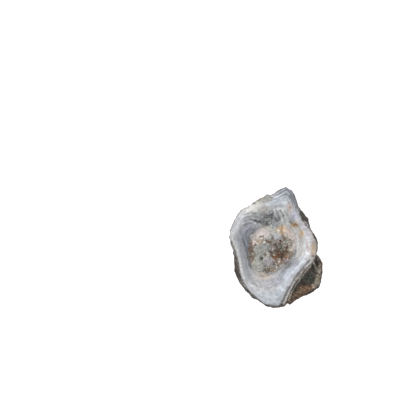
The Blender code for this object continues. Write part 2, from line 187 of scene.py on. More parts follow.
# Lines seen on the stone, as (points, half width, colour, strength, rise in mm). Points and half widths are
# in pixels of the photograph.
LINES = (
    # Arcs of the upper left wall, and the crack below them.
    (((244.5, 214.8), (250, 212.6), (256, 213.4)), 0.8, LINE_GREY, 0.75, -0.05),
    (((241, 217.6), (246, 215.3), (251, 214.6), (257, 214.6)), 0.55, (214, 216, 220), 0.6, 0),
    (((242.5, 219.4), (247, 217.3), (251, 216.3), (256, 216.8), (258, 217.2)), 0.8, DUSK, 0.5, -0.06),
    (((249.5, 219), (253, 220), (256, 221.3)), 0.7, DUSK, 0.7, -0.1),
    (((254, 220.8), (258.4, 221.2), (260.6, 222.3), (262.6, 224.5)), 0.6, BLACK, 0.85, -0.2),
    (((243, 223.2), (248, 221.8), (252, 221), (254.6, 222.6)), 0.7, (240, 242, 246), 0.85, 0.04),
    (((254.6, 223.2), (258, 223.6), (261.4, 225.8)), 0.9, (252, 253, 255), 0.95, 0.1),
    (((252.6, 225.4), (256.4, 225.6), (259.6, 227.4)), 0.8, (244, 246, 252), 0.85, 0.05),
    (((240.6, 222), (240.2, 228), (241, 234)), 0.9, LINE_GREY, 0.35, 0),
    (((244, 226), (247.6, 222.6), (252, 223.4)), 0.7, DUSK, 0.55, 0),
    (((243.6, 230), (246, 226.6), (250, 225.4), (254, 226.6)), 0.7, WHITE, 0.5, 0),
    (((244.4, 236), (246.6, 231), (250.6, 228.6), (254, 230)), 0.7, DUSK, 0.45, 0),
    (((247, 241), (248.6, 236), (252, 232.6)), 0.6, STONE_GREY, 0.5, 0),
    # Ribs of the wall above the crystals, pale as painted light, and the gaps between, as painted shade.
    (((274.6, 210.5), (275.2, 215.6)), 1.1, NOOK_GREY, 0.95, 0.16),
    (((277.6, 208.8), (280, 215.5), (283.6, 222.4)), 1.2, NOOK_GREY, 0.95, 0.18),
    (((281.2, 209.2), (285, 213), (288, 220)), 1.3, NOOK_GREY, 0.95, 0.18),
    (((284.5, 207.8), (288.4, 213.4)), 0.9, WHITE, 0.7, 0.2),
    (((278.2, 214), (279.4, 220)), 0.8, LINE_GREY, 0.7, -0.1),
    (((275, 217.6), (277.2, 221.8)), 1.1, DUSK, 0.7, -0.1),
    (((272.6, 213), (272.2, 216.6)), 1.3, DUSK, 0.6, -0.1),
    (((279.6, 210.4), (284.2, 215.6)), 0.7, LINE_GREY, 0.45, -0.05),
    (((283, 217.6), (285.4, 222)), 0.8, LINE_GREY, 0.5, -0.08),
    (((284.6, 210), (287.8, 216)), 0.6, LINE_GREY, 0.55, -0.1),
    (((263, 218.6), (266, 212.5)), 0.8, PALE_GREY, 0.6, 0.2),
    (((266.4, 219.4), (268.6, 218), (271, 219.6)), 0.7, STONE_GREY, 0.7, 0.2),
    # Wavy lines on the left flank of the peak.
    (((270, 197.6), (273, 198.7), (276.5, 199.2), (280, 197.2)), 0.6, LINE_GREY, 0.45, 0),
    (((271, 195.8), (275, 197), (279, 195.8), (283, 193.4)), 0.6, WHITE, 0.5, 0),
    (((290.4, 194.6), (292.4, 198.6), (294.4, 203)), 0.8, LINE_GREY, 0.7, 0),
    # The peak's dark right edge.
    (((293.4, 195.4), (295.6, 199.4), (297.2, 206), (299.4, 210.6)), 1, DUSK, 0.85, 0),
    (((289.6, 196), (291.6, 200), (292.4, 203)), 0.6, DUSK, 0.6, 0),
    (((279, 200.4), (284, 198.6), (289, 199.6), (291.4, 203.6)), 0.5, WHITE, 0.5, 0),
    # Lower left: the dark rind, a cream line, pale bands, and the shaded foot of the wall.
    (((231.4, 242), (234.4, 249), (236.4, 257), (237.4, 265), (239.6, 274), (242, 280)), 1.4,
     RIND_DARK, 0.85, 0),
    (((242, 280), (248, 289.6), (255, 296.4), (261.6, 302.4)), 0.8, RIND_DARK, 0.85, 0),
    (((234.6, 258), (235.6, 268), (238.6, 276)), 1, BLACK, 0.8, 0),
    (((233.4, 243.6), (237, 249.6), (239.8, 257), (241.4, 265), (242.8, 273.4), (245.6, 279)), 0.8,
     (206, 203, 198), 0.8, 0.03),
    (((237.4, 243.6), (240.6, 252), (243.2, 261), (245, 269), (249, 281)), 1.5, (208, 214, 221), 0.9, 0),
    (((241.4, 246), (246.4, 257), (249.2, 268), (253, 279), (258, 284)), 0.7, WHITE, 0.55, 0),
    (((242.6, 239), (246.4, 249), (249, 259), (251.2, 268)), 1.3, DUSK, 0.6, 0),
    (((250.4, 270), (252, 279), (256.4, 286)), 0.8, STONE_GREY, 0.6, 0),
    # Right rim and wall.
    (((303, 223), (306.4, 228.4), (310.4, 234.6), (312.6, 239)), 1.9, (198, 195, 198), 0.85, 0),
    (((306.6, 222.8), (310.6, 229), (315, 236.4), (316.8, 243)), 0.9, DUSK, 0.5, 0),
    # A grey band along the crystals' edge: painted shade at the foot of the lower right wall.
    (((296.4, 250), (293.4, 259), (287, 266.6), (279.6, 273)), 2.2, (132, 134, 140), 0.7, 0),
    (((303.8, 240), (304.4, 247), (303, 256), (299, 265)), 0.9, WHITE, 0.7, 0.05),
    (((306.6, 243), (308.6, 252)), 0.7, (186, 160, 158), 0.7, 0),
    (((298.6, 222), (304, 229), (308.4, 239)), 1.4, LILAC, 0.6, 0),
    (((300.4, 236.6), (301, 246)), 0.8, STONE_GREY, 0.6, 0),
    (((296.6, 236), (297, 250)), 0.6, WHITE, 0.5, 0),
    (((296.4, 206), (298.6, 210.4)), 0.8, LINE_GREY, 0.8, 0),
    # Lower right: the rind's dark and pale lines.
    (((309.4, 260.6), (302, 268.6), (296, 276), (291, 285), (287, 293), (284, 300), (281, 305)), 0.9,
     RIND_BROWN, 0.9, -0.14),
    (((288.6, 287), (285.4, 294), (282, 301), (279.6, 305.4)), 1.1, RIND_BROWN, 0.7, 0),
    (((313, 260.6), (304.2, 269.8), (298.2, 277.6), (293.2, 286), (289, 293.4), (286, 299.4), (284, 304)),
     0.8, (190, 180, 172), 0.85, 0.1),
    (((309, 266), (302.8, 273.2), (296.8, 281.6), (291.8, 290.6), (288, 299)), 0.7,
     (62, 59, 55), 0.8, -0.14),
    (((310.6, 266.4), (305.2, 272.2), (300.2, 278.6), (296.6, 285), (292, 294), (289, 300)), 0.7,
     TAUPE, 0.8, 0.1),
    (((309, 270), (303.6, 277), (299.4, 284.4), (295.4, 291)), 1.3, (66, 65, 62), 0.7, -0.08),
    # The lower right wall's lavender band, its own colour with painted light where it faces the light.
    (((302.6, 258), (293.8, 271), (286.4, 283), (278.4, 294.6), (269.6, 300.6)), 2.4, LAVENDER, 0.6, 0),
    # The lump's ridges.
    (((313.4, 262.6), (316, 267.6), (318.4, 272.4), (317, 279), (316, 284.6)), 0.8, TAUPE, 0.7, 0),
    (((299, 288.4), (306.4, 285.8), (312.6, 286.6)), 0.8, BROWN, 0.8, 0),
)

# Ovals, as (across, down, half length, half height, turn anticlockwise in degrees), in pixels of the
# photograph: the nook of rounded knobs at the hollow's upper end, and the sill between the crack and the
# crystals.
NOOK = (270.5, 219.2, 12, 7.8, 0)
SILL = (258.2, 224.6, 4.4, 2.3, -22)

# Parts of the rim, as (azimuth, half width in degrees): the pale upper left, where the rind starts further
# down, and the groove between the lip's tip and the lump.
PALE_RIM, GROOVE = (146, 46), (298, 9.5)
# The lump's azimuth, and how far from there it is gone and whole, in degrees.
LUMP_AZIMUTH, LUMP_GONE, LUMP_WHOLE = 316, 46, 34

# Patches seen on the stone, as ovals with a colour and a strength. Later ones cover earlier ones.
PATCHES = (
    # Painted shade: on the upper left wall, dimming a highlight, on the left wall and at the lower wall's
    # foot.
    (245.4, 216.2, 5.4, 2, 25, (166, 170, 178), 0.7),
    (246.6, 243.6, 3.2, 6.4, 15, (170, 176, 190), 0.7),
    (272, 276.2, 6.4, 2.6, 0, (178, 174, 168), 0.6),
    # The skin on the upper left rim, and two nicks in it.
    (259.5, 200.2, 3.4, 1.8, 32, TAUPE, 0.8),
    (266.5, 199.4, 6.8, 3.2, 10, (140, 137, 128), 0.85),
    (255, 203.9, 1.5, 0.8, 0, BLACK, 0.7),
    (247.2, 207.2, 1.3, 1, 0, STONE_GREY, 0.6),
    # The swirl below the upper left rim.
    (245, 221.6, 4.6, 3.4, 0, (150, 154, 166), 0.5),
    (252, 228, 4.6, 4.2, 0, (196, 197, 210), 0.7),
    (242.4, 235.6, 1.8, 2.6, 0, BLUE_GREY, 0.7),
    (247.5, 238.5, 1.8, 5.5, 14, DUSK, 0.5),
    (254, 232.6, 1.6, 4.4, -34, TAUPE, 0.7),
    # The sill, the nook, the ribs beside it and the arc above it.
    (257.6, 223.8, 3.8, 1.8, -14, PALE_SKY, 0.9),
    # Painted light: the nook and the ribs beside it are laid on near white against their shade.
    (271.5, 217.5, 11, 7.2, 4, NOOK_GREY, 0.9),
    (282.5, 215, 6.4, 7.4, -20, (251, 253, 253), 0.85),
    (286.4, 223.4, 3.6, 3.4, 0, (250, 252, 253), 0.85),
    (264.4, 212.2, 5, 3.2, 30, (236, 230, 230), 0.6),
    # Pits of the nook, darkened as painted shade, and pale lumps.
    (263, 221, 1.4, 2.2, 0, LINE_GREY, 0.6),
    (271.6, 214.2, 1.8, 1.4, 0, LINE_GREY, 0.8),
    (266, 224.6, 1.9, 1.1, 0, DUSK, 0.9),
    (272.6, 224, 1.1, 0.9, 0, DUSK, 0.8),
    (264.2, 217.4, 1.1, 1, 0, LINE_GREY, 0.8),
    (268.8, 215.6, 1, 1.6, 20, LINE_GREY, 0.7),
    (275.6, 221, 1.4, 1.3, 0, DUSK, 0.8),
    (269.4, 210.6, 1.6, 0.9, 20, STONE_GREY, 0.7),
    (263, 211.6, 1.6, 0.8, 30, STONE_GREY, 0.7),
    (268.6, 219.4, 1.7, 1.1, 0, WHITE, 0.8),
    (266, 213.4, 1.4, 1.1, 0, WHITE, 0.7),
    # Pits between the ribs as painted shade, and the border above the nook, pale as painted light.
    (284, 215.5, 1.1, 0.9, 0, BLACK, 0.6),
    (288.6, 218.8, 0.9, 1, 0, LINE_GREY, 0.8),
    (290, 222, 1.2, 1.6, 40, DARK_BROWN, 0.6),
    (268, 210.5, 9, 3, 8, (232, 236, 236), 0.7),
    # The pink stain with its brown spot, and the lilac spot.
    (289.8, 207.6, 3.4, 5.8, 0, (186, 171, 161), 0.85),
    (290, 207.5, 1.3, 1.2, 0, BROWN, 0.7),
    (294.8, 216, 2.9, 3.3, 0, (190, 186, 210), 0.85),
    # The green and brown rind at the upper right.
    (302.6, 218.6, 2.4, 2.6, -40, MOSS, 0.8),
    (302.8, 213.6, 2.8, 2.2, -30, OLIVE, 0.9),
    (305.6, 219, 1.8, 2.8, -10, RIND_RED, 0.9),
    # The pale lower left wall.
    (253.4, 275.6, 4.4, 5, 30, (218, 217, 218), 0.75),
    # The honey stain with brown spots, and the one below it.
    (294.8, 225, 4.4, 3, -6, SAND, 0.8),
    (294.6, 224.8, 3.2, 1.9, -8, (188, 140, 88), 0.85),
    (291.6, 223.2, 1.4, 0.8, -20, BROWN, 0.7),
    (297.2, 225.6, 1, 1.5, 0, BROWN, 0.6),
    (295.4, 224.6, 1.4, 0.9, 0, DARK_BROWN, 0.85),
    (301.7, 233.6, 2.8, 4.8, -10, (224, 204, 176), 0.95),
    (301.9, 233.6, 0.9, 2.4, -10, HONEY, 0.8),
    # The right rim: moss, sand, rust and pink.
    (313.6, 241, 1.8, 8, 0, MOSS, 0.55),
    (313.2, 249.4, 2.3, 5.4, 0, SAND, 0.9),
    (312.8, 255.6, 1.8, 1.2, 0, RUST, 0.7),
    (313.2, 256.2, 1, 0.7, 0, MAROON, 0.8),
    (308, 246, 2, 6, 10, PINK, 0.6),
    # The lilac wall below the crystals.
    (276.6, 280.8, 5.6, 5.8, -30, (170, 168, 184), 0.7),
    # Borders of the crystals: brown at the left, and painted shade at the lower right wall's foot.
    (250.6, 251.5, 1.8, 10, 4, (142, 120, 103), 0.75),
    (252.6, 266, 1.8, 5.4, 16, (192, 184, 174), 0.6),
    (288.6, 262.6, 4.8, 2.6, 50, (112, 104, 108), 0.75),
    # Warm and pink marks, a white fleck that is a painted glint, and a sandy border.
    (264, 209, 5, 3.6, 30, (206, 196, 188), 0.6),
    (241.4, 241.6, 1.6, 1.6, 0, (212, 198, 206), 0.6),
    (264, 288.5, 0.9, 0.9, 0, WHITE, 0.9),
    (251.5, 289, 3.4, 1.6, -40, (206, 196, 206), 0.6),
    (246.5, 281.5, 2.4, 1.6, -50, TAUPE, 0.5),
    (264, 277, 7.6, 3, 0, (208, 194, 180), 0.75),
    # The lower tip's edge.
    (281, 305.4, 2.4, 1.6, 20, OLIVE, 0.85),
    (268, 305.4, 12, 1, -6, LINE_GREY, 0.7),
)

# Patches of the rind, likewise.
RIND_PATCHES = (
    # The bump at the upper right.
    (302.6, 213.8, 2.8, 2.2, -30, OLIVE, 0.9),
    (305.6, 219, 1.8, 2.8, -10, RIND_RED, 0.9),
    (306, 226, 4.6, 2.2, -60, (204, 201, 205), 0.95),
    # The lump: grey dip, marks above it, black corner, and a painted highlight along its right edge.
    (308.5, 277, 5.6, 7.4, 0, (62, 66, 62), 0.95),
    (307.6, 270.4, 3.2, 2.2, 30, (110, 88, 80), 0.9),
    (303.4, 275.4, 1.8, 5, -36, (112, 109, 104), 0.7),
    (315, 262.6, 4, 4.6, 20, (34, 20, 15), 0.98),
    (319.6, 270, 1.5, 6.4, 0, (150, 140, 128), 0.85),
    (317.2, 281, 2.2, 4.6, 0, (148, 137, 118), 0.85),
    # The lump's brown lower edge, with a rusty streak and a pale corner.
    (303, 290.8, 11, 3.2, 24, (126, 104, 84), 0.9),
    (306.6, 289, 5.4, 1.2, 22, (142, 106, 76), 0.65),
    (313.6, 286.2, 2.6, 2.2, 30, (184, 168, 148), 0.85),
    (293, 299, 7, 3.4, 24, (108, 90, 74), 0.9),
    # The strip along the left edge.
    (237.4, 262, 2.2, 12, 4, (92, 84, 78), 0.55),
    (238.4, 260.6, 1.4, 2.4, 0, (134, 122, 110), 0.6),
    (238.9, 268.2, 1.3, 2.6, 0, (136, 124, 114), 0.8),
    (235.6, 251.4, 1, 2, 20, (120, 112, 104), 0.7),
    (236, 262, 1, 2.2, 0, BLACK, 0.8),
    (240, 277, 1.8, 6, 30, BLACK, 0.8),
)

# Patches of the crystals, likewise.
DRUSE_PATCHES = (
    # The nook, and its pits, darkened as painted shade.
    (271.5, 218.5, 11.5, 6.6, 2, (222, 224, 222), 0.9),
    (266.5, 224.4, 2.2, 1.4, 0, DUSK, 0.8),
    (263.4, 221, 1.4, 2.2, 0, DUSK, 0.6),
    (275.6, 221, 1.4, 1.4, 0, DUSK, 0.8),
    (268.5, 224, 6.5, 2.2, 0, (160, 161, 158), 0.6),
    # The middle, and the pale border to the nook and the sill.
    (273, 243, 5, 5, 0, (158, 153, 145), 0.7),
    (275.4, 226, 6, 1.8, 0, PALE_BLUE, 0.7),
    (257.4, 223.6, 4.4, 2.2, -8, PALE_SKY, 0.9),
    # Cream crystals at the upper left, and grey ones beside them.
    (262.4, 232.8, 10.6, 5.4, 20, (238, 228, 223), 0.95),
    (253.5, 236, 3.6, 4.2, 0, (220, 211, 207), 0.75),
    (273.6, 231.4, 6.5, 3.4, 0, DRUSE_GREY, 0.9),
    # The brown zone, with its pinkish top and its greyer right side.
    (277.5, 244.6, 5.4, 5.5, 0, (168, 147, 143), 0.7),
    (281.4, 256.6, 11.4, 7, -8, (126, 102, 88), 0.9),
    (281.6, 252.4, 11.4, 3.2, 0, (104, 84, 68), 0.7),
    (288.4, 243, 4.6, 6, 0, (164, 157, 143), 0.65),
    (291.6, 254.8, 3.8, 5.8, 0, (126, 113, 102), 0.85),
    # The brown strip along the left side.
    (251.4, 251.4, 3.2, 11.6, 4, (132, 112, 97), 0.95),
    # Pink, bluish and honey crystals at the upper right.
    (290.2, 234.6, 4.2, 5, 0, PINK, 0.8),
    (276.4, 236, 4.6, 3.4, 0, PALE_BLUE, 0.6),
    (282, 229.6, 5, 5.2, 0, (240, 222, 198), 0.95),
    (281.8, 229.4, 2.4, 2.2, 0, HONEY, 0.4),
    (282.4, 226.6, 1, 0.9, 0, BROWN, 0.8),
    (289.6, 233.6, 3.2, 3.4, 0, PINK, 0.8),
    # The whitest crystals, and sand and pink ones at the left.
    (261.8, 233.2, 2, 2, 0, (255, 246, 240), 0.9),
    (259.4, 241.4, 4.6, 2.6, 12, (206, 184, 160), 0.7),
    (252.6, 243.6, 2.8, 3.4, 0, (206, 186, 178), 0.8),
    # The calm green-grey strip, and the grey, lilac and green zones.
    (259.4, 254, 4.6, 10, 4, (164, 166, 161), 0.9),
    (258.4, 267, 4.4, 6.6, 4, DRUSE_GREEN, 0.9),
    (265.6, 246.6, 4, 4, 0, (166, 168, 170), 0.85),
    (268.6, 262, 5.4, 5.2, 0, DRUSE_LILAC, 0.9),
    (280.6, 247.4, 3.4, 3.2, 0, (132, 138, 120), 0.9),
    # The lower end of the brown strip, and three pale flecks.
    (251.6, 257.4, 2.6, 5.4, 6, (136, 117, 102), 0.9),
    (253.4, 262.4, 1.8, 1.3, 30, (222, 218, 196), 0.9),
    (291.2, 250.2, 2.2, 1.3, 20, (236, 226, 204), 0.9),
    (278.6, 263.2, 1.6, 1.3, 0, BLUSH, 0.9),
    # The lower border: blush, brown-grey, honey, dark brown and green.
    (261, 275.6, 6.4, 2.8, 0, BLUSH, 0.75),
    (274, 269.6, 8.8, 4.6, 0, (134, 129, 119), 0.8),
    (273.6, 270.6, 2.6, 1.6, 0, HONEY, 0.6),
    (267.2, 271.2, 4.8, 3.8, -20, (106, 95, 79), 0.9),
    (276, 275, 3.6, 2, 0, (170, 176, 158), 0.6),
    # Painted shade on the crystals at the lower right, the pink right border and a line at the lower left.
    (286.6, 262.8, 5, 3.6, 50, (104, 94, 96), 0.8),
    (294.6, 240, 2.4, 9, 0, PINK, 0.6),
    (263.6, 264.6, 1.2, 5, 30, (132, 132, 128), 0.7),
)

# Spots of the crystals, as (across, down, half size, colour), likewise.
DRUSE_SPOTS = (
    (260.2, 236.6, 1.3, BROWN), (263, 236.6, 1.3, BROWN), (272.7, 236.2, 1.1, DARK_BROWN),
    (272.9, 238.6, 1.1, BROWN), (281.9, 235, 1.1, BROWN), (284.6, 238.4, 2, BROWN),
    (280.8, 240.7, 1.4, MAROON), (266.5, 241.4, 1.6, BROWN), (269.3, 242.2, 1.5, BROWN),
    (275.2, 244.6, 1.3, DARK_BROWN), (276.6, 246.6, 1, DARK_BROWN), (287.1, 247.8, 1.4, MAROON),
    (270, 251.5, 1.6, DARK_BROWN), (265, 254.6, 1.7, BROWN), (261.4, 258.4, 1.9, BLACK),
    (275, 264.6, 1.2, LINE_GREY), (274.5, 257.5, 2, (150, 100, 62)), (281, 256.2, 1, BLACK),
    (286.6, 256.4, 1.5, (172, 128, 102)), (260.3, 275.2, 1.3, BROWN), (251.4, 243.6, 1, BROWN),
    (255.2, 244.2, 0.9, BROWN),
)

# Calm zones, ovals where the crystals are low and even.
CALM_ZONES = (
    (262, 232.5, 11, 5.6, 20), (276, 235, 5, 5, 0), (258.5, 257, 4.4, 17, 4),
    (268.5, 260.5, 5.4, 6.6, 0), (289, 236, 5, 6, 0), (261, 275, 7, 3, 0),
)

# Zones of mixed colours, as ovals with the colours and the share of the crystals that take one.
DRUSE_MIXES = (
    (281.4, 255.6, 11.4, 6.8, -8, (RUST, RUST, BROWN, BROWN, DARK_BROWN, PINK, (160, 130, 110)), 0.75),
    (280.6, 262.8, 7.6, 4.2, 20, (BROWN, PINK, BROWN, BLUSH, RUST), 0.75),
    (285, 243.5, 7.5, 6, 0, (BROWN, MOSS, MOSS, PINK, TAUPE), 0.6),
    (274, 247.6, 3.6, 6, 20, (BROWN, BROWN, PINK, TAUPE), 0.6),
    (251.4, 252, 3, 10, 4, (BROWN, TAUPE, BROWN, BROWN), 0.3),
    (282, 229.6, 4.4, 4.8, 0, (HONEY, SAND, BLUSH, SAND, BLUSH), 0.7),
    (256, 243.4, 5, 3, 0, (BLUSH, SAND, PINK), 0.6),
    (262, 274.6, 7, 3.2, 0, (BLUSH, SAND, PINK, DRUSE_GREY), 0.6),
    (273, 218.5, 12, 6, 0, (NOOK_GREY, PALE_GREY, STONE_GREY, LINE_GREY), 0.6),
)


def ease(low, high, value):
    """0 below low, 1 above high, and a smooth step between; high may be the lower one."""
    t = np.clip((value - low) / (high - low), 0, 1)
    return t * t * (3 - 2 * t)


def mixed(colours, colour, weight):
    """The colours, one row a point, moved towards a colour by a weight a point."""
    return colours + (linear(colour) - colours) * np.asarray(weight)[:, None]


# How far a step of a noise's seed moves its pattern.
SEED_STEP = np.array((7.31, 3.17, 5.77))


def noise_at(points, size, seed):
    """Smooth noise from about -1 to 1 at each point, with swellings of this size. All are in mm."""
    return np.array([noise.noise(p) for p in (points / size + seed * SEED_STEP).tolist()])


def knobs_at(points, size, seed):
    """0.5 in the middle of each of many rounded cells of this size in mm, and about -0.5 between them."""
    return np.array([0.5 - noise.voronoi(p)[0][0] for p in (points / size + seed * SEED_STEP).tolist()])


def outline_of(curve):
    """A smooth closed outline through (azimuth, radius) points: azimuths, radii and (x, y) points."""
    angles = np.arange(0, 360, 0.5)
    radii = np.interp(angles, [p[0] for p in curve], [p[1] for p in curve], period=360)
    soft = sum(np.roll(radii, step) for step in range(-5, 6)) / 11
    turns = np.radians(angles)
    return angles, soft, np.stack((soft * np.cos(turns), soft * np.sin(turns)), axis=1)


ANGLES, FACE_RADII, FACE_OUTLINE = outline_of(FACE_EDGE)
_, CRYSTAL_RADII, CRYSTAL_OUTLINE = outline_of(CRYSTAL_EDGE)


def radius_at(azimuth, radii):
    return np.interp(azimuth, ANGLES, radii, period=360)


def distance_to(points, outline):
    """How far each point lies from the outline, both seen from above."""
    tree = KDTree(len(outline))
    for index, (x, y) in enumerate(outline):
        tree.insert((x, y, 0), index)
    tree.balance()
    return np.array([tree.find((x, y, 0))[2] for x, y in points[:, :2].tolist()])


class Places:
    """Where each point, in mm, lies on the stone and in the photograph.

    azimuth: in degrees about the middle of the hollow
    share: 0 in the middle of the hollow and 1 at the crystals' edge
    past_edge: mm beyond the face's edge, negative on the face
    edge: mm from the face's edge, 0 beyond it
    inward: 0 at the face's edge and 1 at the crystals' edge
    across, down: the pixel of the photograph where the point is seen

    With the mesh's averager, edge is evened out away from the rim.
    """

    def __init__(self, points, average=None):
        self.points = points
        self.azimuth = np.degrees(np.arctan2(points[:, 1], points[:, 0])) % 360
        radius = np.hypot(points[:, 0], points[:, 1])
        self.share = radius / radius_at(self.azimuth, CRYSTAL_RADII)
        self.past_edge = radius - radius_at(self.azimuth, FACE_RADII)
        self.edge = np.where(self.past_edge > 0, 0, distance_to(points, FACE_OUTLINE))
        crystals = np.where(self.share < 1, 0, distance_to(points, CRYSTAL_OUTLINE))
        self.inward = np.where(self.share < 1, 1.1, self.edge / np.maximum(self.edge + crystals, 0.01))
        if average:
            deep = ease(1.5, 3.5, self.edge)
            soft = self.edge
            for _ in range(BAND_ROUNDS):
                soft = average(soft)
            self.edge = self.edge + (soft - self.edge) * deep
        scale = PIXELS_PER_MM * (CAMERA_Z - RIM_HEIGHT) / (CAMERA_Z - points[:, 2])
        self.across = PHOTO_WIDTH / 2 + (points[:, 0] - CAMERA_X) * scale
        self.down = PHOTO_WIDTH / 2 - (points[:, 1] - CAMERA_Y) * scale

    def near(self, azimuth, half_width):
        away = (self.azimuth - azimuth + 180) % 360 - 180
        return np.exp(-((away / half_width) ** 4))

    def patch(self, across, down, length, height, turn):
        """1 in the middle of an oval of the photograph, falling off round it."""
        angle = math.radians(turn)
        dx, dy = self.across - across, down - self.down
        along = dx * math.cos(angle) + dy * math.sin(angle)
        aside = dy * math.cos(angle) - dx * math.sin(angle)
        return np.exp(-(((along / length) ** 2 + (aside / height) ** 2) ** 2))

    def line(self, points, half_width):
        """1 on a line through points of the photograph, falling off beside it."""
        (left, low), (right, high) = np.min(points, axis=0), np.max(points, axis=0)
        reach = 3 * half_width
        close = (self.across > left - reach) & (self.across < right + reach)
        close &= (self.down > low - reach) & (self.down < high + reach)
        across, down = self.across[close], self.down[close]
        near = np.full(len(across), reach)
        for (x0, y0), (x1, y1) in zip(points, points[1:]):
            dx, dy = x1 - x0, y1 - y0
            t = np.clip(((across - x0) * dx + (down - y0) * dy) / (dx * dx + dy * dy), 0, 1)
            near = np.minimum(near, np.hypot(across - x0 - t * dx, down - y0 - t * dy))
        weight = np.zeros(len(self.points))
        weight[close] = np.exp(-((near / half_width) ** 2))
        return weight


def with_patches(colours, places, patches, ragged, upward=1):
    """The colours with each patch laid over them; ragged is noise that breaks up the patches' edges."""
    for *oval, colour, strength in patches:
        weight = places.patch(*oval) * (1 + 0.6 * ragged)
        colours = mixed(colours, colour, np.clip(weight, 0, 1) * strength * upward)
    return colours


def with_lines(colours, places, ragged, upward=1):
    """The colours with the stone's lines laid over them, likewise."""
    for points, half_width, colour, strength, _ in LINES:
        weight = places.line(points, half_width) * (1 + 0.4 * ragged)
        colours = mixed(colours, colour, np.clip(weight, 0, 1) * strength * upward)
    return colours


def face_colours(places):
    """The colours of the cut face and the hollow's wall, without lines and patches."""
    wobble = noise_at(places.points, 3.0, 1)
    fine = noise_at(places.points, 0.9, 2)
    inward = places.inward + 0.04 * wobble + 0.015 * fine
    edge = places.edge + 0.30 * wobble + 0.12 * fine
    ramp = linear((PALE_GREY, BLUE_GREY, STONE_GREY))
    colours = np.stack([np.interp(inward, (0.5, 0.75, 1), column) for column in ramp.T], axis=1)
    for azimuth, half_width, start, end, colour, strength in FACE_TONES:
        inside = ease(start - 0.07, start + 0.05, inward) * ease(end + 0.07, end - 0.05, inward)
        colours = mixed(colours, colour, strength * inside * places.near(azimuth, half_width))
    for azimuth, half_width, depth, thickness, colour, strength in FACE_BANDS:
        on_band = np.exp(-(((edge - depth) / thickness) ** 2)) * places.near(azimuth, half_width)
        colours = mixed(colours, colour, strength * on_band)
    return colours


def nook_knobs(places):
    """How far each point lies in the nook, 0 to 1, and the height of the nook's knobs, -0.5 to 0.5."""
    seen = np.stack((places.across, places.down, 0 * places.down), axis=1) / PIXELS_PER_MM
    return places.patch(*NOOK), knobs_at(seen, 1.25, 17)


def with_nook_shading(colours, places):
    """The colours with painted light on the nook's knobs and painted shade between them."""
    in_nook, knobs = nook_knobs(places)
    colours = mixed(colours, DUSK, 0.6 * in_nook * ease(0.0, -0.16, knobs))
    return mixed(colours, WHITE, 0.45 * in_nook * ease(0.10, 0.32, knobs))


def rind_colours(places):
    """The colours of the rough outside."""
    broad = noise_at(places.points, 6.0, 4)
    fine = noise_at(places.points, 1.3, 5)
    colours = np.tile(linear(RIND_DARK), (len(places.points), 1))
    colours = mixed(colours, RIND_GREY, ease(-0.15, 0.5, broad + 0.7 * fine))
    return mixed(colours, BROWN, 0.45 * ease(0.0, 0.4, noise_at(places.points, 2.6, 6) + 0.5 * fine))


def rind_share(places, normals):
    """1 on the rind and 0 on the face: on outward slopes, on the underside and past the face's edge."""
    turns = np.radians(places.azimuth)
    outward = normals[:, 0] * np.cos(turns) + normals[:, 1] * np.sin(turns)
    ragged = 0.12 * noise_at(places.points, 1.2, 7)
    pale_rim = places.near(*PALE_RIM)
    steep = ease(0.66, 0.84, outward + ragged - 0.16 * pale_rim)
    outside = (places.share > 1) & ((outward > 0) | ((outward > -0.6) & (normals[:, 2] < 0)))
    under = ease(0.15, -0.10, normals[:, 2]) * outside
    low = ease(9.5, 8.5, places.points[:, 2]) * outside
    past = ease(0.25, 0.75, places.past_edge + 3 * ragged - 0.9 * pale_rim)
    ledge = ease(13.0, 12.4, places.points[:, 2]) * (places.edge < 1.5) * (places.share > 1)
    bottom = ease(0.1, -0.2, normals[:, 2]) * ease(7.5, 6.5, places.points[:, 2])
    return np.maximum.reduce((steep, under, low, past, ledge, bottom))


def mesh_arrays(mesh):
    """The vertices in mm and their normals."""
    points, normals = np.empty((2, len(mesh.vertices) * 3))
    mesh.vertices.foreach_get("co", points)
    mesh.vertex_normals.foreach_get("vector", normals)
    return points.reshape(-1, 3) / MM, normals.reshape(-1, 3)


def set_points(mesh, points):
    mesh.vertices.foreach_set("co", (points * MM).ravel())
    mesh.update()


def add_value(mesh, name, values):
    mesh.attributes.new(name, "FLOAT", "POINT").data.foreach_set("value", np.asarray(values, np.float32))


def add_colour(mesh, name, colours):
    rows = np.concatenate((np.clip(colours, 0, 1), np.ones((len(colours), 1))), axis=1)
    layer = mesh.attributes.new(name, "FLOAT_COLOR", "POINT")
    layer.data.foreach_set("color", rows.astype(np.float32).ravel())


def averager(mesh):
    """A function that gives each vertex the mean of its neighbours' values, or of their points."""
    pairs = np.empty(len(mesh.edges) * 2, np.int32)
    mesh.edges.foreach_get("vertices", pairs)
    first, second, count = pairs[0::2], pairs[1::2], len(mesh.vertices)
    links = np.maximum(np.bincount(pairs, minlength=count), 1)

    def average(values):
        if values.ndim == 2:
            return np.stack([average(column) for column in values.T], axis=1)
        total = np.bincount(first, values[second], count) + np.bincount(second, values[first], count)
        return total / links

    return average


def smoothed(points, average, strength):
    """The points with small facets smoothed away and broad forms kept; strength is from 0 to 1 a point."""

    def smooth(values):
        for _ in range(SMOOTH_ROUNDS):
            values = values + 0.5 * strength[:, None] * (average(values) - values)
        return values

    once = smooth(points)
    return 2 * once - smooth(once)


def applied(obj):
    """Applies the object's modifiers."""
    graph = bpy.context.evaluated_depsgraph_get()
    mesh = bpy.data.meshes.new_from_object(obj.evaluated_get(graph))
    obj.modifiers.clear()
    obj.data = mesh


def new_object(name, data):
    obj = bpy.data.objects.new(name, data)
    bpy.context.scene.collection.objects.link(obj)
    return obj


